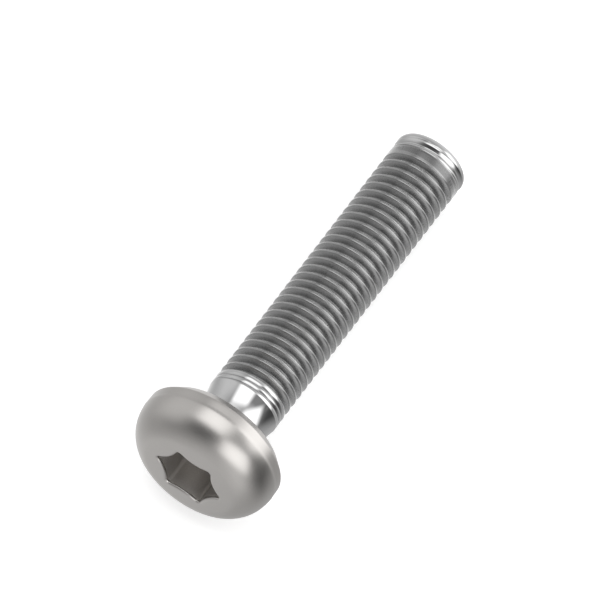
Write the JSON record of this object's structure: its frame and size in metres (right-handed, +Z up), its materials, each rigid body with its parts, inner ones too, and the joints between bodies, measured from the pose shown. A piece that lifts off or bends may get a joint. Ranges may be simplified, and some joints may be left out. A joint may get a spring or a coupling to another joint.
{
  "type": "pan head screw with six-lobe socket",
  "caption": "Metric machine screw with a domed pan head, a lobed drive socket, a plain neck and a fine thread to a rounded tip, lying on its side.",
  "frame": {"origin": "centre of the flat bearing face under the head, on the screw's axis", "axes": "+X level from the head towards the tip, +Z up; the screw lies with its axis 5.6 degrees tip down"},
  "size_m": [0.0349, 0.012, 0.012],
  "materials": {
    "steel": "bare stainless steel, satin on the head and bright on the shank"
  },
  "bodies": {
    "root": {"screw": "steel"}
  },
  "joints": []
}
